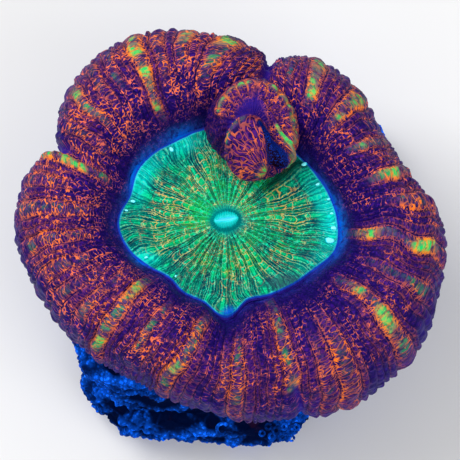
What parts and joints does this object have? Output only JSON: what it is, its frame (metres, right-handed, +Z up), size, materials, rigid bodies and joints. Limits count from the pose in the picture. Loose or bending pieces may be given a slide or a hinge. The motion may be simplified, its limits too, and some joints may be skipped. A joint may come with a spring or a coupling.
{
  "type": "acan coral",
  "caption": "Single fleshy acan coral polyp with a budding lobe on its stony cup and a cut lump of rubble rock, standing on a flat face.",
  "frame": {"origin": "middle of the footprint of the whole object, on the flat cut underside of the rock", "axes": "+Z up through the mouth of the polyp, -Y towards the front, +X to the right"},
  "size_m": [0.0334, 0.0314, 0.0214],
  "materials": {
    "flesh": "wet living flesh, purple with orange net lines and a green disc",
    "bud_flesh": "wet living flesh, purple with orange and green ridges",
    "cup_stone": "rough limy coral skeleton, blue under reef lighting",
    "rubble": "rough porous rubble rock, blue under reef lighting"
  },
  "bodies": {
    "root": {"polyp": "flesh", "bud": "bud_flesh", "skeleton_cup": "cup_stone", "rubble_rock": "rubble"}
  },
  "joints": []
}
